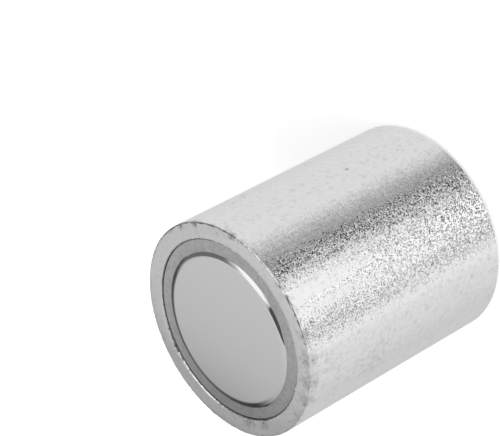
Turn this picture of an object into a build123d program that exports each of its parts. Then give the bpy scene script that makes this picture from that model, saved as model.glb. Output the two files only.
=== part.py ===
"""Cylindrical pot magnet: a turned steel pot with a threaded blind hole in its back, a disc magnet
let into its front, and the resin ring that is cast between the two.

Millimetres, +Z up. The magnet stands on its back, so the origin is the centre of the back face,
the axis is +Z, and the holding face looks up at the pot's full length.
"""

import math
import os

from build123d import *

# Turned steel pot
pot_diameter = 25.0
pot_length = 30.0
rim_wall = 2.0  # steel left round the magnet, at the holding face
back_chamfer = 0.5
front_edge_break = 0.18  # the face is ground flat, which leaves the edge almost sharp
mouth_edge_break = 0.08

# Blind hole in the back, for an M6 screw
thread_diameter = 6.0
thread_pitch = 1.0
hole_depth = 10.0  # back face to the end of the straight wall
countersink_margin = 0.1  # how far the countersink opens past the thread's outer radius
drill_point_angle = 118.0

# Disc magnet
magnet_thickness = 10.0
magnet_edge_radius = 0.45

# Resin ring round the magnet
resin_gap = 1.5
resin_setback = 0.2  # the resin's rim lies this far under the holding face
meniscus_depth = 0.08  # and its middle sinks this much further

# Everything below follows from the sizes above.
pot_radius = pot_diameter / 2
mouth_radius = pot_radius - rim_wall
magnet_radius = mouth_radius - resin_gap
cavity_floor = pot_length - magnet_thickness
hole_radius = (thread_diameter - thread_pitch) / 2  # tapping drill
countersink_radius = thread_diameter / 2 + countersink_margin
drill_point_height = hole_radius / math.tan(math.radians(drill_point_angle / 2))


def pot_section() -> Sketch:
    """Half section of the pot in the XZ plane: bar, chamfered back, magnet cavity and screw hole."""
    bar = Polyline(
        (0, 0),
        (pot_radius - back_chamfer, 0),
        (pot_radius, back_chamfer),
        (pot_radius, pot_length - front_edge_break),
        (pot_radius - front_edge_break, pot_length),
        (0, pot_length),
        close=True,
    )
    return Plane.XZ * make_face(bar) - cavity_section() - hole_section()


def cavity_section() -> Sketch:
    """Half section of the bored cavity: flat floor, straight wall and a broken edge at the mouth."""
    outline = Polyline(
        (0, cavity_floor),
        (mouth_radius, cavity_floor),
        (mouth_radius, pot_length - mouth_edge_break),
        (mouth_radius + mouth_edge_break, pot_length),
        (0, pot_length),
        close=True,
    )
    return Plane.XZ * make_face(outline)


def hole_section() -> Sketch:
    """Half section of the screw hole: countersink, tapping-drill wall and the drill's point."""
    outline = Polyline(
        (0, 0),
        (countersink_radius, 0),
        (hole_radius, countersink_radius - hole_radius),
        (hole_radius, hole_depth),
        (0, hole_depth + drill_point_height),
        close=True,
    )
    return Plane.XZ * make_face(outline)


def magnet_section() -> Sketch:
    """Half section of the disc magnet, rounded at both edges and seated on the cavity's floor."""
    flat = magnet_radius - magnet_edge_radius
    low_side = cavity_floor + magnet_edge_radius
    high_side = pot_length - magnet_edge_radius
    bottom = Polyline((0, pot_length), (0, cavity_floor), (flat, cavity_floor))
    low_edge = RadiusArc((flat, cavity_floor), (magnet_radius, low_side), -magnet_edge_radius)
    side = Line((magnet_radius, low_side), (magnet_radius, high_side))
    high_edge = RadiusArc((magnet_radius, high_side), (flat, pot_length), -magnet_edge_radius)
    top = Line((flat, pot_length), (0, pot_length))
    return Plane.XZ * make_face([bottom, low_edge, side, high_edge, top])


def resin_section() -> Sketch:
    """Half section of the resin: the cavity filled round the magnet up to a hollow meniscus."""
    brim = pot_length - resin_setback
    middle = (mouth_radius + magnet_radius) / 2
    meniscus = ThreePointArc(
        (mouth_radius, brim),
        (middle, brim - meniscus_depth),
        (magnet_radius, brim),
    )
    above = Polyline(
        (magnet_radius, brim),
        (0, brim),
        (0, pot_length),
        (pot_radius, pot_length),
        (pot_radius, brim),
        (mouth_radius, brim),
    )
    air = Plane.XZ * make_face([meniscus, above])
    return cavity_section() - magnet_section() - air


def write_node(name: str, section: Sketch) -> None:
    """Turn a half section about the axis and write it as one named part."""
    solid = revolve(section, Axis.Z, 360)
    solid.label = name
    export_step(solid, os.path.join("parts", name + ".step"))
    print(name, round(solid.volume, 2), "mm3")


os.makedirs("parts", exist_ok=True)
write_node("steel_pot", pot_section())
write_node("potting_ring", resin_section())
write_node("magnet", magnet_section())
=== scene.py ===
"""Looks of a cylindrical pot magnet: its turned steel pot, its disc magnet and the resin between them.

Everything is in metres, in the construction model's own frame: +Z runs out of the holding face,
and the magnet stands on its threaded back at z = 0. Sizes are written in millimetres.
"""

import logging
import math
from collections.abc import Callable, Sequence
from dataclasses import dataclass, field
from typing import NamedTuple

import bmesh
import bpy
from mathutils import Matrix, Vector


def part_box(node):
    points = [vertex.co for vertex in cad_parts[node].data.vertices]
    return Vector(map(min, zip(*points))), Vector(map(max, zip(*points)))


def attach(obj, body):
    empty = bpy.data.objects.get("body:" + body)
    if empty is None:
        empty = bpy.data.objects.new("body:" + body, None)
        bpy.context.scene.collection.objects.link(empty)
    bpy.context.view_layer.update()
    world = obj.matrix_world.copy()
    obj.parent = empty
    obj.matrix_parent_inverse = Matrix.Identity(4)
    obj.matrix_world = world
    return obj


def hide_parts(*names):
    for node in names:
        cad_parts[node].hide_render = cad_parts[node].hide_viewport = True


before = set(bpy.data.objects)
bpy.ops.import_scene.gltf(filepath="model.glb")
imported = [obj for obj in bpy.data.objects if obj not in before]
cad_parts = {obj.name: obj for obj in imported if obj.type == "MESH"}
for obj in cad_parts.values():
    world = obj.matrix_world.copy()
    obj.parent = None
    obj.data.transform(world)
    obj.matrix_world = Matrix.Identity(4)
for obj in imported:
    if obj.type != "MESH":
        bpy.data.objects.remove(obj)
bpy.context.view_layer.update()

MM = 0.001
TURN = 2.0 * math.pi
ROOT = "root"
LOG = logging.getLogger("pot_magnet")

Station = tuple[float, float]
Span = tuple[float, float]
# a side of the magnet: the middle of its span of azimuths, half of it, and its soft edge, in degrees
Side = tuple[float, float, float]
Colour = tuple[float, float, float, float]

WHITE: Colour = (1.0, 1.0, 1.0, 1.0)
# vertices nearer than this are one, in metres
SAME_PLACE = 1e-7
# a turned loop is found by its station to within this, in millimetres
STATION_SLACK = 1e-3
# faces that meet at more than this keep a crease between them
CREASE_DEG = 32.0
DENT_CONTRAST = 1.6

# driving sizes from the frame, in millimetres
POT_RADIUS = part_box("steel_pot")[1].x / MM
POT_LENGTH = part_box("steel_pot")[1].z / MM
MAGNET_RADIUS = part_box("magnet")[1].x / MM
# the magnet's tumbled edge, which the resin follows
MAGNET_EDGE = 0.45
# a loop that is closed to a point starts this small
POLE_RADIUS = 0.05
# the side on which shade is painted into the seams beside the resin and onto the magnet's edge
SEAM_SHADE_SIDE: Side = (97.0, 82.0, 14.0)


class AxisPlace(NamedTuple):
    """Sockets that tell where a point lies round the turning axis."""

    place: bpy.types.NodeSocket
    radius: bpy.types.NodeSocket
    height: bpy.types.NodeSocket
    azimuth: bpy.types.NodeSocket


# ---------------------------------------------------------------------------------------------
# Small tools
# ---------------------------------------------------------------------------------------------


def srgb(code: str) -> Colour:
    """Turn a hex colour into linear light.

    Args:
        code: six hex digits, as in "D9D9D6".

    Returns:
        The linear red, green and blue, and an alpha of one.
    """
    levels = [int(code[i : i + 2], 16) / 255.0 for i in (0, 2, 4)]
    linear = [v / 12.92 if v <= 0.04045 else ((v + 0.055) / 1.055) ** 2.4 for v in levels]
    return (linear[0], linear[1], linear[2], 1.0)


def per_size(size_mm: float) -> float:
    """Texture scale at which a pattern's cell measures size_mm in object coordinates."""
    return 1.0 / (size_mm * MM)


def add_node(
    tree: bpy.types.NodeTree,
    kind: str,
    inputs: dict[str | int, object] | None = None,
    **settings: object,
) -> bpy.types.Node:
    """Add one node with its settings, values and links.

    Args:
        tree: the node tree of a material or of the world.
        kind: Blender's name of the node type.
        inputs: socket name or number to a value, or to the output socket that feeds it.
        settings: attributes of the node itself, such as operation.

    Returns:
        The new node.
    """
    node = tree.nodes.new(kind)
    for name, value in settings.items():
        setattr(node, name, value)
    for socket, value in (inputs or {}).items():
        if isinstance(value, bpy.types.NodeSocket):
            tree.links.new(value, node.inputs[socket])
        else:
            node.inputs[socket].default_value = value
    return node


def new_material(name: str) -> tuple[bpy.types.Material, bpy.types.NodeTree]:
    """Start a material with an empty node tree.

    Args:
        name: the material's name.

    Returns:
        The material and its node tree.
    """
    material = bpy.data.materials.new(name)
    material.use_nodes = True
    tree = material.node_tree
    tree.nodes.clear()
    return material, tree


def fill_ramp(node: bpy.types.Node, stops: Sequence[tuple[float, float]]) -> None:
    """Set a colour ramp's stops to grey levels of linear light.

    Args:
        node: the colour ramp node.
        stops: position from 0 to 1, and level, in rising order.
    """
    elements = node.color_ramp.elements
    for i, (position, level) in enumerate(stops):
        # a new ramp has two stops
        stop = elements[i] if i < 2 else elements.new(position)
        stop.position = position
        stop.color = (level, level, level, 1.0)


def angle_mask(
    tree: bpy.types.NodeTree, angle: bpy.types.NodeSocket, centre: float, half: float, soft: float
) -> bpy.types.NodeSocket:
    """One inside a span of angles, zero outside, and smooth between.

    Args:
        tree: the node tree of a material or of the world.
        angle: an azimuth or elevation, in radians.
        centre: the span's middle, in degrees.
        half: half the span, in degrees.
        soft: half the width of its soft edge, in degrees.

    Returns:
        The mask's socket.
    """
    offset = add_node(tree, "ShaderNodeMath", {0: angle, 1: math.radians(centre)}, operation="SUBTRACT")
    near = add_node(tree, "ShaderNodeMath", {0: offset.outputs[0], 1: math.pi, 2: -math.pi}, operation="WRAP")
    away = add_node(tree, "ShaderNodeMath", {0: near.outputs[0]}, operation="ABSOLUTE")
    mask = add_node(
        tree,
        "ShaderNodeMapRange",
        {
            "Value": away.outputs[0],
            "From Min": math.radians(half - soft),
            "From Max": math.radians(half + soft),
            "To Min": 1.0,
            "To Max": 0.0,
        },
        interpolation_type="SMOOTHSTEP",
    )
    return mask.outputs["Result"]


def round_axis(tree: bpy.types.NodeTree) -> AxisPlace:
    """Find where a point lies round the turning axis.

    Args:
        tree: a material's node tree.

    Returns:
        The sockets of the object coordinates, and of the radius, height and azimuth they give.
    """
    place = add_node(tree, "ShaderNodeTexCoord").outputs["Object"]
    axes = add_node(tree, "ShaderNodeSeparateXYZ", {0: place}).outputs
    across = add_node(tree, "ShaderNodeCombineXYZ", {"X": axes["X"], "Y": axes["Y"]})
    radius = add_node(tree, "ShaderNodeVectorMath", {0: across.outputs[0]}, operation="LENGTH")
    azimuth = add_node(tree, "ShaderNodeMath", {0: axes["Y"], 1: axes["X"]}, operation="ARCTAN2")
    return AxisPlace(place, radius.outputs["Value"], axes["Z"], azimuth.outputs[0])


def seen_directly(tree: bpy.types.NodeTree) -> bpy.types.NodeSocket:
    """Tell the rays with which the camera sees a spot itself, or through glass, from all others.

    Args:
        tree: the node tree of a material or of the world.

    Returns:
        A socket that is one for those rays and zero for the others.
    """
    rays = add_node(tree, "ShaderNodeLightPath").outputs
    direct = {0: rays["Is Camera Ray"], 1: rays["Is Transmission Ray"]}
    return add_node(tree, "ShaderNodeMath", direct, operation="MAXIMUM").outputs[0]


def arc(centre: Station, radius: float, start_deg: float, end_deg: float, steps: int) -> list[Station]:
    """Stations along an arc of a turned section.

    Args:
        centre: the arc's centre as (radius, height), in millimetres.
        radius: the arc's radius, in millimetres.
        start_deg: direction of the first station, 0 outwards and 90 upwards.
        end_deg: direction of the last station.
        steps: how many chords the arc is cut into.

    Returns:
        steps + 1 stations, ends included.
    """
    angles = [math.radians(start_deg + (end_deg - start_deg) * i / steps) for i in range(steps + 1)]
    return [(centre[0] + radius * math.cos(a), centre[1] + radius * math.sin(a)) for a in angles]


def select_only(obj: bpy.types.Object) -> None:
    """Make one object the only selected one, and the active one.

    Args:
        obj: the object.
    """
    bpy.ops.object.select_all(action="DESELECT")
    obj.select_set(True)
    bpy.context.view_layer.objects.active = obj


def select_vertices(obj: bpy.types.Object, wanted: Callable[[Vector], bool]) -> None:
    """Select vertices of an object in edit mode.

    Args:
        obj: the object.
        wanted: whether a vertex is selected, by its place in millimetres.
    """
    mesh = bmesh.from_edit_mesh(obj.data)
    for vertex in mesh.verts:
        vertex.select = wanted(vertex.co / MM)
    mesh.select_mode = {"VERT"}
    mesh.select_flush_mode()
    bmesh.update_edit_mesh(obj.data)


def off_station(point: Vector, station: Station) -> float:
    """How far a point lies from one turned loop, all in millimetres."""
    return math.hypot(math.hypot(point.x, point.y) - station[0], point.z - station[1])


def beside(edge: Station, reach: float) -> Callable[[Vector], float]:
    """Tell how near points lie to a turned edge.

    Args:
        edge: the edge's loop, as (radius, height) in millimetres.
        reach: how far from it that nearness falls to zero, in millimetres.

    Returns:
        A function from a place in millimetres to its nearness, which is one at the edge.
    """

    def nearness(point: Vector) -> float:
        """One at the edge, falling evenly to zero at its reach."""
        return max(0.0, 1.0 - off_station(point, edge) / reach)

    return nearness


def close_up(merge_m: float) -> None:
    """Merge the doubles of the mesh in edit mode, turn its faces outwards and leave edit mode.

    Args:
        merge_m: vertices nearer than this are merged, in metres.
    """
    bpy.ops.mesh.select_all(action="SELECT")
    bpy.ops.mesh.remove_doubles(threshold=merge_m)
    bpy.ops.mesh.normals_make_consistent(inside=False)
    bpy.ops.object.mode_set(mode="OBJECT")


def turn_solid(name: str, stations: Sequence[Station], segments: int, ring: bool = False) -> bpy.types.Object:
    """Turn a solid loop by loop, as on a lathe, from a circle that is extruded and resized.

    Args:
        name: the new object's name.
        stations: (radius, height) of each loop in millimetres. A solid that reaches its axis
            starts and ends with a loop that is closed to a point.
        segments: how many vertices a loop has.
        ring: true for a ring, whose last loop is joined to its first.

    Returns:
        The turned object, at the origin and with its normals outwards.
    """
    first, last = stations[0], stations[-1]
    bpy.ops.object.select_all(action="DESELECT")
    bpy.ops.mesh.primitive_circle_add(
        vertices=segments, radius=first[0] * MM, fill_type="NOTHING", location=(0.0, 0.0, first[1] * MM)
    )
    obj = bpy.context.active_object
    obj.name = obj.data.name = name
    bpy.ops.object.transform_apply(location=True, rotation=True, scale=True)
    bpy.ops.object.mode_set(mode="EDIT")
    bpy.ops.mesh.select_all(action="SELECT")
    for (radius, height), (next_radius, next_height) in zip(stations, stations[1:]):
        rise = (0.0, 0.0, (next_height - height) * MM)
        bpy.ops.mesh.extrude_edges_move(TRANSFORM_OT_translate={"value": rise})
        grow = next_radius / radius
        bpy.ops.transform.resize(value=(grow, grow, 1.0), center_override=(0.0, 0.0, next_height * MM))
    if ring:
        closing = (0.0, 0.0, (first[1] - last[1]) * MM)
        bpy.ops.mesh.extrude_edges_move(TRANSFORM_OT_translate={"value": closing})
        grow = first[0] / last[0]
        bpy.ops.transform.resize(value=(grow, grow, 1.0), center_override=(0.0, 0.0, first[1] * MM))
    else:
        bpy.ops.mesh.merge(type="CENTER")
        select_vertices(obj, lambda point: off_station(point, first) < STATION_SLACK)
        bpy.ops.mesh.merge(type="CENTER")
    close_up(SAME_PLACE)
    return obj


def apply_modifier(obj: bpy.types.Object, kind: str, name: str, **settings: object) -> None:
    """Add a modifier with its settings and apply it.

    Args:
        obj: the object, in object mode.
        kind: Blender's name of the modifier type.
        name: the modifier's name.
        settings: attributes of the modifier, such as operation.
    """
    select_only(obj)
    modifier = obj.modifiers.new(name, kind)
    for key, value in settings.items():
        setattr(modifier, key, value)
    bpy.ops.object.modifier_apply(modifier=modifier.name)


def rough_up(
    obj: bpy.types.Object, name: str, where: Callable[[Vector], float], depth: float, grain: float
) -> None:
    """Eat into a mesh unevenly, as knocks and tumbling do to an edge.

    Args:
        obj: the object, in object mode.
        name: name of the wear, used for its vertex group and texture.
        where: how much wear a point takes, from 0 to 1, by its place in millimetres.
        depth: the deepest wear, in millimetres.
        grain: the size of one dent, in millimetres.
    """
    group = obj.vertex_groups.new(name=name)
    for vertex in obj.data.vertices:
        weight = where(vertex.co / MM)
        if weight > 0.0:
            group.add([vertex.index], weight, "REPLACE")
    dents = bpy.data.textures.new(name, "CLOUDS")
    dents.noise_scale = grain * MM
    dents.noise_depth = 1
    dents.contrast = DENT_CONTRAST
    dents.use_clamp = True
    apply_modifier(
        obj,
        "DISPLACE",
        name,
        texture=dents,
        texture_coords="LOCAL",
        vertex_group=name,
        direction="NORMAL",
        mid_level=1.0,
        strength=depth * MM,
    )
    obj.vertex_groups.remove(obj.vertex_groups[name])


def dress(obj: bpy.types.Object, material: bpy.types.Material) -> None:
    """Shade a finished mesh smooth between its creases, and give it its only material.

    Args:
        obj: the object, in object mode.
        material: its finish.
    """
    select_only(obj)
    bpy.ops.object.shade_smooth_by_angle(angle=math.radians(CREASE_DEG))
    obj.data.materials.clear()
    obj.data.materials.append(material)


# ---------------------------------------------------------------------------------------------
# Finishes
# ---------------------------------------------------------------------------------------------


@dataclass(frozen=True)
class Mark:
    """A knock or a patch of specks in the plating, placed round the pot's axis.

    Sizes are in millimetres and the azimuth in degrees. A crowd of 0.1 scatters specks over the
    patch, and one of 0.5 wears it through.
    """

    azimuth: float
    radius: float
    height: float
    size: float
    crowd: float


@dataclass(frozen=True)
class ZincPlating:
    """Bright zinc plating over blasted bar steel.

    The plating is thin and follows the steel under it, so the metal is pale and mirror-like, but
    every grain of the blasted skin tilts it a little, which breaks up whatever it reflects. The
    turned rim is smoother, and its edges are worn down to dark, pitted steel in places.
    """

    name: str = "zinc_plating_blasted"
    colour: str = "DCDCDC"
    dull_colour: str = "CCCCCC"
    # in the plating, the colour of grime and bared steel in its specks and stains
    grime_and_shade_colour: str = "7A7A7A"
    roughness: float = 0.06
    # the grains of a real blasted skin are finer: they are drawn just coarse enough to show
    grain_mm: float = 0.12
    grain_tilt: float = 0.15
    # the bar was drawn, which left its grains long, so they tilt less along the axis than round it
    grain_swing: tuple[float, float, float] = (1.0, 1.0, 0.5)
    turned_share: float = 0.16
    ripple_mm: float = 2.6
    ripple_depth_mm: float = 0.006
    mottle_mm: float = 0.6
    pit_mm: float = 0.22
    pit_depth_mm: float = 0.02
    patch_mm: float = 2.2
    patch_share: float = 0.24
    worn_span: Span = (0.82, 0.94)
    # stains lie round the specks, softer and wider than they are
    stain_share: float = 3.0
    stain_span: Span = (0.58, 0.9)
    stain_depth: float = 0.34
    rim_level: float = POT_LENGTH
    rim_radius: float = POT_RADIUS
    # how far in from the rim's corner the wear begins and is full, and how thick it is there
    edge_width: Span = (0.5, 0.1)
    edge_drop: Span = (0.9, 0.1)
    edge_crowd: float = 0.07
    # how far under the rim the blasted grains end
    turned_drop: Span = (0.16, 0.06)
    marks: tuple[Mark, ...] = (
        # along the rim's outer corner
        Mark(2.0, 12.3, 30.0, 0.6, 0.2),
        Mark(-8.0, 12.3, 30.0, 0.8, 0.24),
        Mark(-20.0, 12.3, 30.0, 0.7, 0.26),
        Mark(-47.0, 12.35, 30.0, 0.9, 0.24),
        Mark(-82.0, 12.4, 29.9, 1.0, 0.14),
        Mark(-110.0, 12.4, 29.8, 1.4, 0.13),
        Mark(-123.0, 12.4, 29.7, 1.9, 0.15),
        Mark(-136.0, 12.4, 29.7, 2.0, 0.16),
        Mark(-148.0, 12.3, 29.7, 1.8, 0.14),
        Mark(-162.0, 12.3, 29.8, 2.0, 0.08),
        # on the rim beside the resin
        Mark(154.0, 10.9, 30.0, 1.5, 0.16),
        Mark(168.0, 10.9, 30.0, 1.2, 0.15),
        # on the blasted outside
        Mark(-105.4, 12.5, 28.5, 0.24, 0.42),
        Mark(-104.2, 12.5, 28.2, 0.2, 0.38),
        Mark(-129.0, 12.5, 27.6, 3.5, 0.05),
        Mark(-18.0, 12.5, 22.2, 1.1, 0.11),
        Mark(-22.0, 12.5, 24.4, 0.9, 0.1),
        Mark(-43.0, 12.5, 11.9, 0.45, 0.2),
        Mark(-39.0, 12.5, 19.2, 0.7, 0.11),
        Mark(-146.0, 12.5, 20.0, 5.0, 0.04),
    )

    def material(self) -> bpy.types.Material:
        """Build the finish.

        Returns:
            The material, which reads object coordinates.
        """
        material, tree = new_material(self.name)
        spot = round_axis(tree)
        ripple, mottle, pit, patch = (
            add_node(
                tree, "ShaderNodeTexNoise", {"Vector": spot.place, "Scale": per_size(size), "Detail": detail}
            ).outputs["Fac"]
            for size, detail in (
                (self.ripple_mm, 1.0),
                (self.mottle_mm, 3.0),
                (self.pit_mm, 2.0),
                (self.patch_mm, 2.0),
            )
        )
        crowd = self.crowd(tree, spot)
        wide = add_node(
            tree, "ShaderNodeMath", {0: patch, 1: self.patch_share, 2: crowd}, operation="MULTIPLY_ADD"
        )
        deep = add_node(tree, "ShaderNodeMath", {0: pit, 1: wide.outputs[0]}, operation="ADD")
        worn = add_node(
            tree,
            "ShaderNodeMapRange",
            {"Value": deep.outputs[0], "From Min": self.worn_span[0], "From Max": self.worn_span[1]},
            interpolation_type="SMOOTHSTEP",
        )
        cloud = add_node(
            tree, "ShaderNodeMath", {0: crowd, 1: self.stain_share, 2: mottle}, operation="MULTIPLY_ADD"
        )
        stained = add_node(
            tree,
            "ShaderNodeMapRange",
            {
                "Value": cloud.outputs[0],
                "From Min": self.stain_span[0],
                "From Max": self.stain_span[1],
                "To Max": self.stain_depth,
            },
        )
        sound = add_node(
            tree,
            "ShaderNodeMix",
            {0: mottle, 6: srgb(self.colour), 7: srgb(self.dull_colour)},
            data_type="RGBA",
        )
        share = add_node(
            tree, "ShaderNodeMath", {0: worn.outputs[0], 1: stained.outputs[0]}, operation="MAXIMUM"
        )
        colour = add_node(
            tree,
            "ShaderNodeMix",
            {0: share.outputs[0], 6: sound.outputs[2], 7: srgb(self.grime_and_shade_colour)},
            data_type="RGBA",
        )
        waves = add_node(tree, "ShaderNodeBump", {"Height": ripple, "Distance": self.ripple_depth_mm * MM})
        dents = add_node(
            tree,
            "ShaderNodeBump",
            {
                "Height": worn.outputs[0],
                "Distance": self.pit_depth_mm * MM,
                "Normal": waves.outputs["Normal"],
            },
            invert=True,
        )
        shader = add_node(
            tree,
            "ShaderNodeBsdfPrincipled",
            {
                "Base Color": colour.outputs[2],
                "Metallic": 1.0,
                "Roughness": self.roughness,
                "Normal": self.facets(tree, spot, dents.outputs["Normal"]),
            },
        )
        add_node(tree, "ShaderNodeOutputMaterial", {"Surface": shader.outputs["BSDF"]})
        return material

    def facets(
        self, tree: bpy.types.NodeTree, spot: AxisPlace, normal: bpy.types.NodeSocket
    ) -> bpy.types.NodeSocket:
        """Tilt every blasted grain its own way, so that each mirrors another spot.

        Args:
            tree: the material's node tree.
            spot: where the point lies round the axis.
            normal: the surface's direction before the grains.

        Returns:
            The direction of each grain.
        """
        grains = add_node(
            tree, "ShaderNodeTexVoronoi", {"Vector": spot.place, "Scale": per_size(self.grain_mm)}
        )
        # the rim was turned after blasting, so its grains hardly tilt
        spread = add_node(
            tree,
            "ShaderNodeMapRange",
            {
                "Value": spot.height,
                "From Min": (self.rim_level - self.turned_drop[0]) * MM,
                "From Max": (self.rim_level - self.turned_drop[1]) * MM,
                "To Min": self.grain_tilt,
                "To Max": self.grain_tilt * self.turned_share,
            },
            interpolation_type="SMOOTHSTEP",
        )
        swing = add_node(
            tree,
            "ShaderNodeVectorMath",
            {0: grains.outputs["Color"], 1: (0.5, 0.5, 0.5)},
            operation="SUBTRACT",
        )
        round_wise = add_node(
            tree, "ShaderNodeVectorMath", {0: swing.outputs[0], 1: self.grain_swing}, operation="MULTIPLY"
        )
        tilt = add_node(
            tree,
            "ShaderNodeVectorMath",
            {0: round_wise.outputs[0], "Scale": spread.outputs[0]},
            operation="SCALE",
        )
        tilted = add_node(tree, "ShaderNodeVectorMath", {0: normal, 1: tilt.outputs[0]}, operation="ADD")
        unit = add_node(tree, "ShaderNodeVectorMath", {0: tilted.outputs[0]}, operation="NORMALIZE")
        return unit.outputs[0]

    def crowd(self, tree: bpy.types.NodeTree, spot: AxisPlace) -> bpy.types.NodeSocket:
        """How thickly the specks lie, which is most along the rim and at the marks.

        Args:
            tree: the material's node tree.
            spot: where the point lies round the axis.

        Returns:
            A socket that is zero where the plating is sound.
        """
        edges = []
        for value, edge, (far, near), full in (
            (spot.radius, self.rim_radius, self.edge_width, 1.0),
            (spot.height, self.rim_level, self.edge_drop, self.edge_crowd),
        ):
            mask = add_node(
                tree,
                "ShaderNodeMapRange",
                {
                    "Value": value,
                    "From Min": (edge - far) * MM,
                    "From Max": (edge - near) * MM,
                    "To Max": full,
                },
                interpolation_type="SMOOTHSTEP",
            )
            edges.append(mask.outputs[0])
        crowd = add_node(tree, "ShaderNodeMath", {0: edges[0], 1: edges[1]}, operation="MULTIPLY").outputs[0]
        for mark in self.marks:
            angle = math.radians(mark.azimuth)
            centre = Vector((mark.radius * math.cos(angle), mark.radius * math.sin(angle), mark.height)) * MM
            away = add_node(tree, "ShaderNodeVectorMath", {0: spot.place, 1: centre}, operation="DISTANCE")
            near = add_node(
                tree,
                "ShaderNodeMapRange",
                {
                    "Value": away.outputs["Value"],
                    "From Max": mark.size * MM,
                    "To Min": mark.crowd,
                    "To Max": 0.0,
                },
                interpolation_type="SMOOTHSTEP",
            )
            both = add_node(tree, "ShaderNodeMath", {0: crowd, 1: near.outputs[0]}, operation="MAXIMUM")
            crowd = both.outputs[0]
        return crowd


@dataclass(frozen=True)
class CastResin:
    """Grey-filled epoxy, poured in and left as it set: dull, slightly mottled, with a faint sheen.

    Dark shade is painted into the two seams beside it, on one side, and one side of it is painted darker as
    shade.
    """

    name: str = "cast_epoxy_grey"
    colour: str = "9E9E9E"
    dark_colour: str = "8E8E8E"
    # colour of the shade painted into the seams beside the magnet and the steel
    seam_shade_colour: str = "262626"
    roughness: float = 0.42
    mottle_mm: float = 0.5
    mottle_span: Span = (0.35, 0.65)
    grit_mm: float = 0.16
    grit_depth_mm: float = 0.003
    # painted shade: the resin is darkened on this side, down to this share of its colour
    painted_shade_side: Side = (145.0, 60.0, 55.0)
    painted_shade_level: float = 0.62
    seam_shade_side: Side = SEAM_SHADE_SIDE
    # where each seam's painted shade begins and is full, by radius, and how dark it is
    inner_seam: Span = (9.2, 9.07)
    inner_share: float = 1.0
    outer_seam: Span = (10.34, 10.46)
    outer_share: float = 0.75

    def material(self) -> bpy.types.Material:
        """Build the finish.

        Returns:
            The material, which reads object coordinates.
        """
        material, tree = new_material(self.name)
        spot = round_axis(tree)
        mottle = add_node(
            tree,
            "ShaderNodeTexNoise",
            {"Vector": spot.place, "Scale": per_size(self.mottle_mm), "Detail": 3.0, "Roughness": 0.6},
        )
        low, high = self.mottle_span
        cloud = add_node(
            tree, "ShaderNodeMapRange", {"Value": mottle.outputs["Fac"], "From Min": low, "From Max": high}
        )
        mixed = add_node(
            tree,
            "ShaderNodeMix",
            {0: cloud.outputs[0], 6: srgb(self.dark_colour), 7: srgb(self.colour)},
            data_type="RGBA",
        )
        level = self.painted_shade_level
        # painted shade on one side of the resin
        shaded = add_node(
            tree,
            "ShaderNodeMix",
            {
                0: angle_mask(tree, spot.azimuth, *self.painted_shade_side),
                6: mixed.outputs[2],
                7: (level, level, level, 1.0),
            },
            data_type="RGBA",
            blend_type="MULTIPLY",
        )
        dressed = add_node(
            tree,
            "ShaderNodeMix",
            {0: self.seams(tree, spot), 6: shaded.outputs[2], 7: srgb(self.seam_shade_colour)},
            data_type="RGBA",
        )
        grit = add_node(
            tree,
            "ShaderNodeTexNoise",
            {"Vector": spot.place, "Scale": per_size(self.grit_mm), "Detail": 2.0},
        )
        skin = add_node(
            tree,
            "ShaderNodeBump",
            {"Height": grit.outputs["Fac"], "Distance": self.grit_depth_mm * MM},
        )
        shader = add_node(
            tree,
            "ShaderNodeBsdfPrincipled",
            {
                "Base Color": dressed.outputs[2],
                "Roughness": self.roughness,
                "Normal": skin.outputs["Normal"],
            },
        )
        add_node(tree, "ShaderNodeOutputMaterial", {"Surface": shader.outputs["BSDF"]})
        return material

    def seams(self, tree: bpy.types.NodeTree, spot: AxisPlace) -> bpy.types.NodeSocket:
        """How much shade is painted onto the resin: only beside the magnet and the steel, and not all round.

        Args:
            tree: the material's node tree.
            spot: where the point lies round the axis.

        Returns:
            The mask's socket.
        """
        sides = [
            add_node(
                tree,
                "ShaderNodeMapRange",
                {"Value": spot.radius, "From Min": unshaded * MM, "From Max": fully_shaded * MM, "To Max": share},
                interpolation_type="SMOOTHSTEP",
            ).outputs[0]
            for (unshaded, fully_shaded), share in (
                (self.inner_seam, self.inner_share),
                (self.outer_seam, self.outer_share),
            )
        ]
        both = add_node(tree, "ShaderNodeMath", {0: sides[0], 1: sides[1]}, operation="MAXIMUM")
        here = angle_mask(tree, spot.azimuth, *self.seam_shade_side)
        # painted shade: the seams are darkened only on this side
        painted_seam_shade = add_node(tree, "ShaderNodeMath", {0: both.outputs[0], 1: here}, operation="MULTIPLY")
        return painted_seam_shade.outputs[0]


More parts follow.
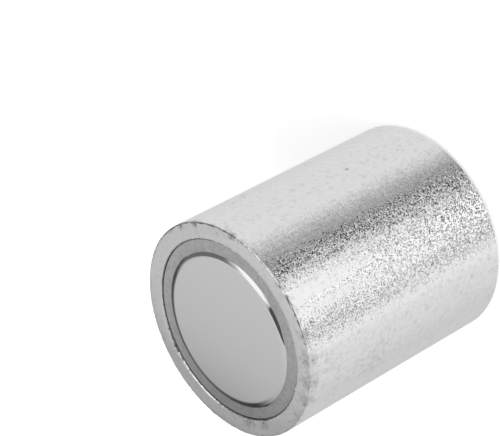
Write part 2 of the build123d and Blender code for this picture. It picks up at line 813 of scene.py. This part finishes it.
@dataclass(frozen=True)
class NickelPlating:
    """Bright nickel over sintered magnet: a smooth mirror, with shade and a dark reflection painted onto its
    edge where it meets the resin.
    """

    name: str = "nickel_plating_bright"
    colour: str = "D4D4D4"
    # painted shade and dark reflection on the magnet's edge beside the resin, on one side
    grime_and_shade_colour: str = "202020"
    roughness: float = 0.06
    swell_mm: float = 3.5
    swell_depth_mm: float = 0.0006
    seam_shade_side: Side = SEAM_SHADE_SIDE
    edge_shade_span: Span = (8.3, 8.66)

    def material(self) -> bpy.types.Material:
        """Build the finish.

        Returns:
            The material, which reads object coordinates.
        """
        material, tree = new_material(self.name)
        spot = round_axis(tree)
        unshaded, fully_shaded = self.edge_shade_span
        edge = add_node(
            tree,
            "ShaderNodeMapRange",
            {"Value": spot.radius, "From Min": unshaded * MM, "From Max": fully_shaded * MM},
            interpolation_type="SMOOTHSTEP",
        )
        here = angle_mask(tree, spot.azimuth, *self.seam_shade_side)
        # painted shade on the edge, on one side only
        edge_shade = add_node(tree, "ShaderNodeMath", {0: edge.outputs[0], 1: here}, operation="MULTIPLY")
        colour = add_node(
            tree,
            "ShaderNodeMix",
            {0: edge_shade.outputs[0], 6: srgb(self.colour), 7: srgb(self.grime_and_shade_colour)},
            data_type="RGBA",
        )
        swell = add_node(
            tree,
            "ShaderNodeTexNoise",
            {"Vector": spot.place, "Scale": per_size(self.swell_mm), "Detail": 2.0},
        )
        skin = add_node(
            tree,
            "ShaderNodeBump",
            {"Height": swell.outputs["Fac"], "Distance": self.swell_depth_mm * MM},
        )
        shader = add_node(
            tree,
            "ShaderNodeBsdfPrincipled",
            {
                "Base Color": colour.outputs[2],
                "Metallic": 1.0,
                "Roughness": self.roughness,
                "Normal": skin.outputs["Normal"],
            },
        )
        add_node(tree, "ShaderNodeOutputMaterial", {"Surface": shader.outputs["BSDF"]})
        return material


# ---------------------------------------------------------------------------------------------
# The pieces of the magnet
# ---------------------------------------------------------------------------------------------


@dataclass(frozen=True)
class EdgeWear:
    """Wear along a turned edge: how far it reaches, how deep it bites and how coarse its dents are.

    All three are in millimetres.
    """

    name: str
    reach: float
    depth: float
    grain: float


@dataclass
class SteelPot:
    """The turned pot, with its magnet cavity, its worn edges and the tapped hole in its back."""

    node: str = "steel_pot"
    slot: str = "zinc_plated_steel"
    segments: int = 512
    wall: float = 2.0
    cavity_depth: float = 10.0
    back_chamfer: float = 0.5
    front_break: float = 0.06
    front_roll: float = 0.35
    front_drop: float = 0.012
    mouth_break: float = 0.08
    # loops this far from an edge keep its wear off the plain faces beside it
    side_guard: float = 0.3
    mouth_guard: float = 0.4
    hole_radius: float = 2.5
    hole_depth: float = 10.0
    drill_point_deg: float = 118.0
    countersink_radius: float = 3.1
    thread_radius: float = 3.0
    thread_pitch: float = 1.0
    thread_turns: int = 10
    flank_deg: float = 30.0
    tap_steps: int = 64
    # the tap's ridge starts a little inside the hole's wall, and some turns before the back
    tap_bite: float = 0.05
    tap_lead_turns: float = 1.5
    # edges shorter than this, which the tap leaves along its cut, are dissolved
    sliver: float = 0.001
    rim_wear: EdgeWear = EdgeWear("outer_edge_knocks", reach=0.35, depth=0.06, grain=0.35)
    mouth_wear: EdgeWear = EdgeWear("mouth_burr", reach=0.2, depth=0.1, grain=0.22)
    back_wear: EdgeWear = EdgeWear("back_edge_knocks", reach=0.6, depth=0.036, grain=0.6)
    finish: ZincPlating = field(default_factory=ZincPlating)

    def stations(self) -> list[Station]:
        """Lay out the half section, from the drill's point round the outside to the cavity's floor.

        Returns:
            The loops to turn.
        """
        radius, length = POT_RADIUS, POT_LENGTH
        mouth = radius - self.wall
        point = self.hole_depth + self.hole_radius / math.tan(math.radians(self.drill_point_deg / 2))
        hole = [
            (POLE_RADIUS, point),
            (self.hole_radius, self.hole_depth),
            (self.hole_radius, self.countersink_radius - self.hole_radius),
            (self.countersink_radius, 0.0),
        ]
        chamfer = self.back_chamfer
        back = [(radius - chamfer * (1.0 - t), chamfer * t) for t in (0.0, 0.34, 0.67, 1.0)]
        brow = length - self.front_drop
        # the corner's round stops short of level, where the rim's slight roll-off takes over
        corner = arc((radius - self.front_break, brow - self.front_break), self.front_break, 0.0, 78.0, 4)
        front = [
            (radius, chamfer + self.side_guard),
            (radius, brow - self.front_break - self.side_guard),
            *corner,
            (radius - self.front_roll * 0.66, length - self.front_drop * 0.3),
            (radius - self.front_roll, length),
            (mouth + self.mouth_guard, length),
        ]
        # the mouth's edge is broken in two chords, which meet on its diagonal and run out to both sides
        diagonal, run_out = self.mouth_break * 0.4, self.mouth_break * 1.6
        cavity = [
            (mouth + run_out, length),
            (mouth + diagonal, length - diagonal),
            (mouth, length - run_out),
            (mouth, length - self.mouth_guard),
            (mouth, length - self.cavity_depth),
            (POLE_RADIUS, length - self.cavity_depth),
        ]
        return hole + back + front + cavity

    def wear_edges(self, pot: bpy.types.Object) -> None:
        """Knock the rim's two edges about, and the edge of the back a little.

        Args:
            pot: the turned pot.
        """
        for wear, edge in (
            (self.rim_wear, (POT_RADIUS, POT_LENGTH)),
            (self.mouth_wear, (POT_RADIUS - self.wall, POT_LENGTH)),
            (self.back_wear, (POT_RADIUS, 0.0)),
        ):
            rough_up(pot, wear.name, beside(edge, wear.reach), wear.depth, wear.grain)

    def make_tap(self) -> bpy.types.Object:
        """Make the tap that cuts the right-handed thread: one ridge swept up a screw.

        Returns:
            The tap, on the pot's axis.
        """
        core = self.hole_radius - self.tap_bite
        ridge = self.thread_radius - core
        flank = ridge * math.tan(math.radians(self.flank_deg))
        # a metric thread's crest is an eighth of its pitch
        crest = self.thread_pitch / 8.0
        root = self.thread_pitch - crest - 2 * flank
        bpy.ops.object.select_all(action="DESELECT")
        bpy.ops.mesh.primitive_plane_add(
            size=MM, location=(core * MM, 0.0, -self.tap_lead_turns * self.thread_pitch * MM)
        )
        tap = bpy.context.active_object
        tap.name = "tap"
        bpy.ops.object.transform_apply(location=True, rotation=True, scale=True)
        bpy.ops.object.mode_set(mode="EDIT")
        bpy.ops.mesh.select_all(action="SELECT")
        bpy.ops.mesh.merge(type="CENTER")
        for out, up in ((ridge, flank), (0.0, crest), (-ridge, flank), (0.0, root)):
            bpy.ops.mesh.extrude_vertices_move(TRANSFORM_OT_translate={"value": (out * MM, 0.0, up * MM)})
        bpy.ops.object.mode_set(mode="OBJECT")
        apply_modifier(
            tap,
            "SCREW",
            "thread",
            axis="Z",
            angle=TURN,
            screw_offset=self.thread_pitch * MM,
            iterations=self.thread_turns,
            steps=self.tap_steps,
            render_steps=self.tap_steps,
            use_merge_vertices=True,
            merge_threshold=self.sliver * MM,
        )
        bpy.ops.object.mode_set(mode="EDIT")
        bpy.ops.mesh.select_all(action="SELECT")
        bpy.ops.mesh.remove_doubles(threshold=SAME_PLACE)
        bpy.ops.mesh.fill_holes(sides=0)
        close_up(SAME_PLACE)
        return tap

    def cut_thread(self, pot: bpy.types.Object) -> None:
        """Cut the screw hole's thread with the tap.

        Args:
            pot: the turned pot.
        """
        tap = self.make_tap()
        apply_modifier(pot, "BOOLEAN", "tapping", operation="DIFFERENCE", solver="EXACT", object=tap)
        bpy.data.objects.remove(tap, do_unlink=True)
        select_only(pot)
        bpy.ops.object.mode_set(mode="EDIT")
        bpy.ops.mesh.select_all(action="SELECT")
        bpy.ops.mesh.dissolve_degenerate(threshold=self.sliver * MM)
        close_up(self.sliver * MM)

    def build(self) -> bpy.types.Object:
        """Turn the pot, wear it, tap it and dress it.

        Returns:
            The finished pot.
        """
        pot = turn_solid("turned_pot", self.stations(), self.segments)
        self.wear_edges(pot)
        self.cut_thread(pot)
        dress(pot, self.finish.material())
        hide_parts(self.node)
        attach(pot, ROOT)
        return pot


@dataclass
class PottingRing:
    """The resin cast between pot and magnet, with the hollow meniscus that it set with."""

    node: str = "potting_ring"
    slot: str = "potting_resin"
    segments: int = 384
    magnet_radius: float = MAGNET_RADIUS
    magnet_edge: float = MAGNET_EDGE
    meniscus_depth: float = 0.08
    meniscus_steps: int = 10
    # the meniscus starts a little under the brim beside the steel, and ends a little higher
    brim_drop: float = 0.02
    brim_rise: float = 0.01
    seam_width: float = 0.12
    seam_floor: float = 0.048
    seam_depth: float = 0.16
    # the side on which the resin shrank away from the magnet, and how far in and down that goes
    seam_azimuth: float = 92.0
    seam_half_angle: float = 90.0
    seam_reach: float = 0.02
    seam_drop: float = 0.2
    seam_grain: float = 0.8
    finish: CastResin = field(default_factory=CastResin)

    def stations(self) -> list[Station]:
        """Lay out the section, from the seam along the steel over the meniscus, down the magnet and back.

        Returns:
            The loops to turn.
        """
        low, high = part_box(self.node)
        outer, floor, brim = high.x / MM, low.z / MM, high.z / MM
        start = brim - self.brim_drop
        seam = [
            (outer, brim - self.seam_depth),
            (outer - self.seam_floor, brim - self.seam_depth),
            (outer - self.seam_width, start),
        ]
        begin, end = outer - self.seam_width, self.magnet_radius
        meniscus = []
        for i in range(1, self.meniscus_steps + 1):
            t = i / self.meniscus_steps
            sag = self.meniscus_depth * 4.0 * t * (1.0 - t)
            meniscus.append((begin + (end - begin) * t, start - sag + t * self.brim_rise))
        edge = self.magnet_edge
        seat = arc((self.magnet_radius - edge, floor + edge), edge, 0.0, -90.0, 4)
        return [*seam, *meniscus, *seat, (outer, floor)]

    def shrink(self, resin: bpy.types.Object) -> None:
        """Open the seam beside the magnet, on the side where the resin shrank away as it set.

        Args:
            resin: the cast ring.
        """
        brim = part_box(self.node)[1].z / MM

        def near_magnet(point: Vector) -> float:
            """Tell whether the resin shrank away at a point.

            Args:
                point: the point's place, in millimetres.

            Returns:
                One at the top edge beside the magnet, on the side that shrank, and zero elsewhere.
            """
            away = math.remainder(math.atan2(point.y, point.x) - math.radians(self.seam_azimuth), TURN)
            beside_magnet = math.hypot(point.x, point.y) < self.magnet_radius + self.seam_reach
            at_brim = point.z > brim - self.seam_drop
            return float(beside_magnet and at_brim and abs(away) < math.radians(self.seam_half_angle))

        rough_up(resin, "magnet_seam", near_magnet, self.seam_depth, self.seam_grain)

    def build(self) -> bpy.types.Object:
        """Cast the ring and dress it.

        Returns:
            The finished ring.
        """
        resin = turn_solid("cast_resin", self.stations(), self.segments, ring=True)
        self.shrink(resin)
        dress(resin, self.finish.material())
        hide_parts(self.node)
        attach(resin, ROOT)
        return resin


@dataclass
class DiscMagnet:
    """The nickel-plated disc, tumbled before plating, which left its edges round."""

    node: str = "magnet"
    slot: str = "nickel_plated_magnet"
    segments: int = 384
    edge: float = MAGNET_EDGE
    edge_steps: int = 6
    # the face rolls off towards its edge, from one slope to another, and ends in a sharper corner
    roll: float = 0.58
    roll_start_deg: float = 5.0
    roll_end_deg: float = 27.0
    roll_steps: int = 8
    corner_width: float = 0.03
    corner_drop: float = 0.05
    face_guard: float = 0.25
    finish: NickelPlating = field(default_factory=NickelPlating)

    def stations(self) -> list[Station]:
        """Lay out the half section, from the middle of the back to the middle of the face.

        Returns:
            The loops to turn.
        """
        low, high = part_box(self.node)
        radius, floor, face = high.x / MM, low.z / MM, high.z / MM
        back = arc((radius - self.edge, floor + self.edge), self.edge, -90.0, 0.0, self.edge_steps)
        width = (self.roll - self.corner_width) / self.roll_steps
        spot = (radius - self.roll, face)
        rolled = [spot]
        for i in range(self.roll_steps):
            share = (i + 0.5) / self.roll_steps
            slope = self.roll_start_deg + (self.roll_end_deg - self.roll_start_deg) * share
            spot = (spot[0] + width, spot[1] - width * math.tan(math.radians(slope)))
            rolled.append(spot)
        corner = (radius, spot[1] - self.corner_drop)
        middle = [(radius - self.roll - self.face_guard, face), (POLE_RADIUS, face)]
        return [(POLE_RADIUS, floor), *back, corner, *reversed(rolled), *middle]

    def build(self) -> bpy.types.Object:
        """Press the disc and dress it.

        Returns:
            The finished disc.
        """
        disc = turn_solid("disc_magnet", self.stations(), self.segments)
        dress(disc, self.finish.material())
        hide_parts(self.node)
        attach(disc, ROOT)
        return disc


# ---------------------------------------------------------------------------------------------
# The studio
# ---------------------------------------------------------------------------------------------


@dataclass(frozen=True)
class Panel:
    """A soft-edged card or flag far off in the studio, which only the metal's mirror sees.

    Angles are in degrees. Azimuth counts from +X towards +Y and elevation from the horizon.
    """

    azimuth: float
    elevation: float
    half_width: float
    half_height: float
    soft_width: float
    soft_height: float
    strength: float


@dataclass(frozen=True)
class Lamp:
    """A square soft lamp that shines at the magnet's foot. Place and size are in metres, power in watts."""

    name: str
    place: tuple[float, float, float]
    size: float
    power: float


@dataclass
class Studio:
    """Pale floor, soft lamps, and the table, cards and flags that the metal mirrors."""

    floor_size: float = 6.0
    floor_colour: str = "F3F3F3"
    floor_lift: float = 0.34
    sky: float = 0.75
    ambient: float = 0.6
    # between these elevations the table gives way to what stands behind it
    horizon: Span = (-22.0, -8.0)
    # brightness of what lies below the horizon, by azimuth in degrees: these levels were fitted by a
    # program to match the pot's shading, and then rounded
    ground: tuple[tuple[float, float], ...] = (
        (-180.0, 1.00),
        (-160.0, 1.05),
        (-146.0, 1.25),
        (-142.0, 1.15),
        (-141.0, 0.80),
        (-130.0, 0.95),
        (-118.0, 1.02),
        (-104.0, 1.15),
        (-94.0, 1.06),
        (-86.0, 0.82),
        (-76.0, 0.57),
        (-66.0, 0.60),
        (-56.0, 0.48),
        (-46.0, 0.52),
        (-36.0, 0.77),
        (-22.0, 1.07),
        (33.0, 1.00),
        (66.0, 0.80),
        (98.0, 0.80),
        (114.0, 0.66),
        (126.0, 0.80),
        (150.0, 0.84),
        (180.0, 1.00),
    )
    glow: Panel = Panel(-98.0, -22.0, 20.0, 15.4, 10.0, 2.0, 1.32)
    # finely broken light and shade, as of crumpled foil, between these azimuths
    foil_span: Span = (-142.0, -56.0)
    foil_soft: float = 1.0
    foil_grain_deg: float = 2.4
    foil_noise: Span = (0.45, 0.55)
    foil_contrast: float = 0.96
    # the foil's contrast rises from a share of it to the whole between these azimuths
    foil_rise: Span = (-126.0, -104.0)
    foil_share: float = 0.6
    panels: tuple[Panel, ...] = (
        # dark far side of the room
        Panel(50.0, 3.0, 22.0, 17.0, 5.0, 9.0, 0.3),
        Panel(-1.0, 25.0, 27.0, 28.0, 5.0, 4.0, 0.4),
        Panel(49.0, 25.0, 24.0, 28.0, 5.0, 4.0, 0.2),
        # soft box overhead and the dark beyond it
        Panel(46.0, 70.0, 38.0, 11.0, 2.0, 2.0, 1.4),
        Panel(77.0, 58.5, 7.0, 7.0, 2.0, 1.5, 1.4),
        Panel(146.0, 75.0, 56.0, 20.0, 2.0, 6.0, 0.1),
        # tall soft box at the front right, and the gap beside it
        Panel(-50.0, 32.0, 35.0, 30.0, 3.0, 8.0, 1.5),
        Panel(-108.0, 45.0, 16.0, 34.0, 6.0, 8.0, 0.1),
    )
    # graded card beside the holding face: brightness by height above its foot, in millimetres. The
    # levels were typed from a program's list of what the magnet's edge mirrors, then changed
    card_azimuth: float = 134.0
    card_distance: float = 12.7
    card_span: Span = (-60.0, 27.0)
    card_height: float = 36.0
    card_lift: float = 0.1
    card_grade: tuple[tuple[float, float], ...] = (
        (0.0, 0.430),
        (0.8, 0.530),
        (1.6, 0.550),
        (2.6, 0.530),
        (4.0, 0.545),
        (6.0, 0.625),
        (9.0, 0.695),
        (12.0, 0.735),
        (17.0, 0.770),
        (24.0, 0.810),
        (36.0, 0.840),
    )
    lamps: tuple[Lamp, ...] = (
        Lamp("key_lamp", (-0.5, -0.5, 0.9), 0.8, 5.0),
        Lamp("fill_lamp", (0.7, 0.3, 0.8), 0.8, 2.5),
    )

    def build_floor(self) -> bpy.types.Object:
        """Lay the pale floor, which is white to the camera and keeps the magnet's shadow.

        Returns:
            The floor.
        """
        bpy.ops.object.select_all(action="DESELECT")
        bpy.ops.mesh.primitive_plane_add(size=self.floor_size)
        floor = bpy.context.active_object
        floor.name = "floor"
        material, tree = new_material("pale_floor")
        matt = add_node(tree, "ShaderNodeBsdfDiffuse", {"Color": srgb(self.floor_colour)})
        lift = add_node(tree, "ShaderNodeEmission", {"Color": WHITE, "Strength": self.floor_lift})
        both = add_node(tree, "ShaderNodeAddShader", {0: matt.outputs[0], 1: lift.outputs[0]})
        shader = add_node(
            tree, "ShaderNodeMixShader", {0: seen_directly(tree), 1: matt.outputs[0], 2: both.outputs[0]}
        )
        add_node(tree, "ShaderNodeOutputMaterial", {"Surface": shader.outputs[0]})
        floor.data.materials.append(material)
        floor.visible_glossy = False
        return floor

    def build_world(self) -> None:
        """Set the light that comes from all round, and what the metal mirrors."""
        world = bpy.data.worlds.new("studio")
        bpy.context.scene.world = world
        world.use_nodes = True
        tree = world.node_tree
        tree.nodes.clear()
        white, soft, mirrored = (
            add_node(tree, "ShaderNodeBackground", {"Color": WHITE, "Strength": strength})
            for strength in (1.0, self.ambient, self.mirror_level(tree))
        )
        glossy = add_node(tree, "ShaderNodeLightPath").outputs["Is Glossy Ray"]
        lit = add_node(tree, "ShaderNodeMixShader", {0: glossy, 1: soft.outputs[0], 2: mirrored.outputs[0]})
        shown = add_node(
            tree, "ShaderNodeMixShader", {0: seen_directly(tree), 1: lit.outputs[0], 2: white.outputs[0]}
        )
        add_node(tree, "ShaderNodeOutputWorld", {"Surface": shown.outputs[0]})
        world.cycles.sampling_method = "NONE"

    def mirror_level(self, tree: bpy.types.NodeTree) -> bpy.types.NodeSocket:
        """Lay out what the metal mirrors: the table below, the cards and flags above.

        Args:
            tree: the world's node tree.

        Returns:
            The socket that holds the brightness seen in each direction.
        """
        direction = add_node(tree, "ShaderNodeTexCoord").outputs["Generated"]
        axes = add_node(tree, "ShaderNodeSeparateXYZ", {0: direction}).outputs
        turn = add_node(tree, "ShaderNodeMath", {0: axes["Y"], 1: axes["X"]}, operation="ARCTAN2")
        azimuth = turn.outputs[0]
        elevation = add_node(tree, "ShaderNodeMath", {0: axes["Z"]}, operation="ARCSINE").outputs[0]
        table = self.table_level(tree, direction, azimuth)
        table = self.lay_panel(tree, table, azimuth, elevation, self.glow)
        above = self.sky
        for panel in self.panels:
            above = self.lay_panel(tree, above, azimuth, elevation, panel)
        begin, end = self.horizon
        horizon = add_node(
            tree,
            "ShaderNodeMapRange",
            {"Value": elevation, "From Min": math.radians(begin), "From Max": math.radians(end)},
            interpolation_type="SMOOTHSTEP",
        )
        return add_node(tree, "ShaderNodeMix", {0: horizon.outputs[0], 2: table, 3: above}).outputs[0]

    def table_level(
        self, tree: bpy.types.NodeTree, direction: bpy.types.NodeSocket, azimuth: bpy.types.NodeSocket
    ) -> bpy.types.NodeSocket:
        """Lay out what lies below the horizon, with its strip of crumpled foil.

        Args:
            tree: the world's node tree.
            direction: the direction that is looked in.
            azimuth: its azimuth, in radians.

        Returns:
            The socket that holds its brightness.
        """
        turn = add_node(
            tree, "ShaderNodeMapRange", {"Value": azimuth, "From Min": -math.pi, "From Max": math.pi}
        )
        ramp = add_node(tree, "ShaderNodeValToRGB", {"Fac": turn.outputs[0]})
        fill_ramp(ramp, [((angle + 180.0) / 360.0, level) for angle, level in self.ground])
        creases = add_node(
            tree,
            "ShaderNodeTexNoise",
            {"Vector": direction, "Scale": 1.0 / math.radians(self.foil_grain_deg), "Detail": 0.0},
        )
        swing = add_node(
            tree,
            "ShaderNodeMapRange",
            {
                "Value": creases.outputs["Fac"],
                "From Min": self.foil_noise[0],
                "From Max": self.foil_noise[1],
                "To Min": -self.foil_contrast,
                "To Max": self.foil_contrast,
            },
        )
        begin, end = self.foil_span
        strip = angle_mask(tree, azimuth, (begin + end) / 2, (end - begin) / 2, self.foil_soft)
        depth = add_node(
            tree,
            "ShaderNodeMapRange",
            {
                "Value": azimuth,
                "From Min": math.radians(self.foil_rise[0]),
                "From Max": math.radians(self.foil_rise[1]),
                "To Min": self.foil_share,
            },
        )
        deep = add_node(tree, "ShaderNodeMath", {0: strip, 1: depth.outputs[0]}, operation="MULTIPLY")
        broken = add_node(
            tree,
            "ShaderNodeMath",
            {0: swing.outputs[0], 1: deep.outputs[0], 2: 1.0},
            operation="MULTIPLY_ADD",
        )
        level = add_node(
            tree, "ShaderNodeMath", {0: ramp.outputs[0], 1: broken.outputs[0]}, operation="MULTIPLY"
        )
        return level.outputs[0]

    def lay_panel(
        self,
        tree: bpy.types.NodeTree,
        level: bpy.types.NodeSocket | float,
        azimuth: bpy.types.NodeSocket,
        elevation: bpy.types.NodeSocket,
        panel: Panel,
    ) -> bpy.types.NodeSocket:
        """Lay one panel over what is there already.

        Args:
            tree: the world's node tree.
            level: the brightness without the panel.
            azimuth: azimuth of the direction that is looked in, in radians.
            elevation: its elevation, in radians.
            panel: the card or flag.

        Returns:
            The socket that holds the brightness with the panel.
        """
        across = angle_mask(tree, azimuth, panel.azimuth, panel.half_width, panel.soft_width)
        up = angle_mask(tree, elevation, panel.elevation, panel.half_height, panel.soft_height)
        mask = add_node(tree, "ShaderNodeMath", {0: across, 1: up}, operation="MULTIPLY")
        return add_node(tree, "ShaderNodeMix", {0: mask.outputs[0], 2: level, 3: panel.strength}).outputs[0]

    def build_card(self) -> bpy.types.Object:
        """Stand the graded card beside the holding face, where only reflections see it.

        Returns:
            The card.
        """
        angle = math.radians(self.card_azimuth)
        away = Vector((math.cos(angle), math.sin(angle), 0.0))
        along = Vector((-math.sin(angle), math.cos(angle), 0.0))
        foot = (POT_LENGTH + self.card_lift) * MM
        begin, end = self.card_span
        width, height = (end - begin) * MM, self.card_height * MM
        bpy.ops.object.select_all(action="DESELECT")
        bpy.ops.mesh.primitive_plane_add(size=1.0)
        card = bpy.context.active_object
        card.name = "graded_card"
        turn = Matrix((along, Vector((0.0, 0.0, 1.0)), away)).transposed().to_4x4()
        place = away * self.card_distance * MM - along * (begin + end) / 2 * MM
        place.z = foot + height / 2
        card.matrix_world = Matrix.Translation(place) @ turn @ Matrix.Diagonal((width, height, 1.0, 1.0))
        material, tree = new_material("graded_card")
        spot = add_node(tree, "ShaderNodeTexCoord").outputs["Object"]
        up = add_node(tree, "ShaderNodeSeparateXYZ", {0: spot}).outputs["Y"]
        share = add_node(tree, "ShaderNodeMath", {0: up, 1: 0.5}, operation="ADD")
        ramp = add_node(tree, "ShaderNodeValToRGB", {"Fac": share.outputs[0]})
        fill_ramp(ramp, [(rise / self.card_height, level) for rise, level in self.card_grade])
        glow = add_node(tree, "ShaderNodeEmission", {"Color": ramp.outputs[0], "Strength": 1.0})
        add_node(tree, "ShaderNodeOutputMaterial", {"Surface": glow.outputs[0]})
        card.data.materials.append(material)
        card.visible_camera = False
        card.visible_shadow = False
        card.visible_transmission = False
        return card

    def build_lamps(self) -> None:
        """Hang the soft lamps, which light what is dull but aren't mirrored by the metal."""
        for lamp in self.lamps:
            bpy.ops.object.light_add(type="AREA", location=lamp.place)
            light = bpy.context.active_object
            light.name = lamp.name
            light.data.size = lamp.size
            light.data.energy = lamp.power
            light.rotation_euler = (-Vector(lamp.place)).to_track_quat("-Z", "Y").to_euler()
            light.visible_glossy = False
            light.visible_camera = False

    def build(self) -> None:
        """Set up the whole studio."""
        self.build_floor()
        self.build_world()
        self.build_card()
        self.build_lamps()


@dataclass
class StudioCamera:
    """A long lens that looks down on the holding face, rolled over. Places are in millimetres."""

    location: tuple[float, float, float] = (0.0, -193.5, 159.977)
    target: tuple[float, float, float] = (9.604, 0.0, 20.264)
    roll_deg: float = 116.88
    lens: float = 157.22
    sensor: float = 36.0
    # nearest and farthest depth seen, in metres
    clip: Span = (0.01, 20.0)

    def build(self) -> bpy.types.Object:
        """Place the camera and make it the scene's own.

        Returns:
            The camera.
        """
        place = Vector(self.location) * MM
        ahead = Vector(self.target) * MM - place
        level = ahead.to_track_quat("-Z", "Y").to_matrix()
        rolled = level @ Matrix.Rotation(-math.radians(self.roll_deg), 3, "Z")
        bpy.ops.object.camera_add(location=place, rotation=rolled.to_euler())
        camera = bpy.context.active_object
        camera.name = "camera"
        camera.data.lens = self.lens
        camera.data.sensor_width = self.sensor
        camera.data.sensor_fit = "HORIZONTAL"
        camera.data.clip_start, camera.data.clip_end = self.clip
        bpy.context.scene.camera = camera
        return camera


def main() -> None:
    """Build the magnet and its studio, and report each piece."""
    logging.basicConfig(level=logging.INFO, format="%(message)s")
    StudioCamera().build()
    Studio().build()
    for piece in (SteelPot(), PottingRing(), DiscMagnet()):
        obj = piece.build()
        LOG.info("%s: %d faces", obj.name, len(obj.data.polygons))
    bpy.context.scene.view_settings.view_transform = "Standard"


if __name__ == "__main__":
    main()
